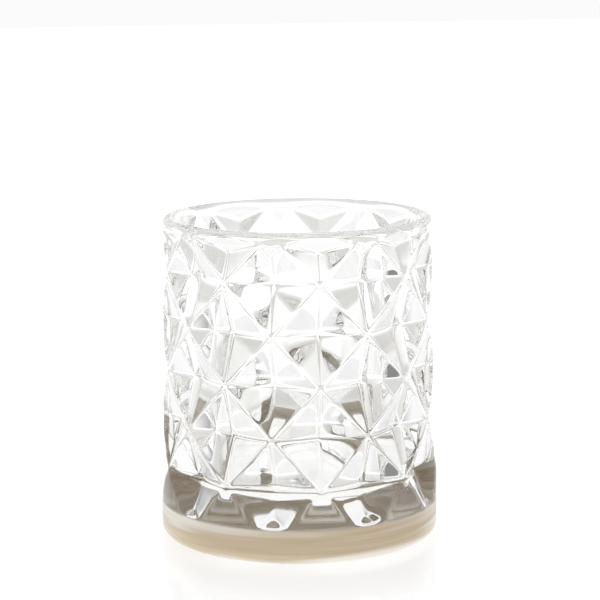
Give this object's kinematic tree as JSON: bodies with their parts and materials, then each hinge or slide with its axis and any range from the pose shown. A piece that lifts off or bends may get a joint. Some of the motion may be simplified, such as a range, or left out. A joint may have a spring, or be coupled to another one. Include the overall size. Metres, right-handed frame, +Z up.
{
  "type": "whiskey tumbler",
  "caption": "Straight-sided pressed-glass whiskey tumbler with a star-cut net of diamond pits, a rounded rim and a heavy clear foot with a champagne pearl-lustre band.",
  "frame": {"origin": "centre of the plane that the glass stands on", "axes": "+Z up along the glass's axis, out of the mouth; a column of stars with odd rows lies on -Y"},
  "size_m": [0.0826, 0.0826, 0.0956],
  "materials": {
    "clear_glass": "clear soda-lime glass, fire-polished",
    "pearl_lustre": "glossy champagne pearl lustre, slightly see-through, with fine horizontal streaks; olive brown where it is seen through the glass"
  },
  "bodies": {
    "root": {"glass_body": "clear_glass", "foot_lustre_band": "pearl_lustre"}
  },
  "joints": []
}
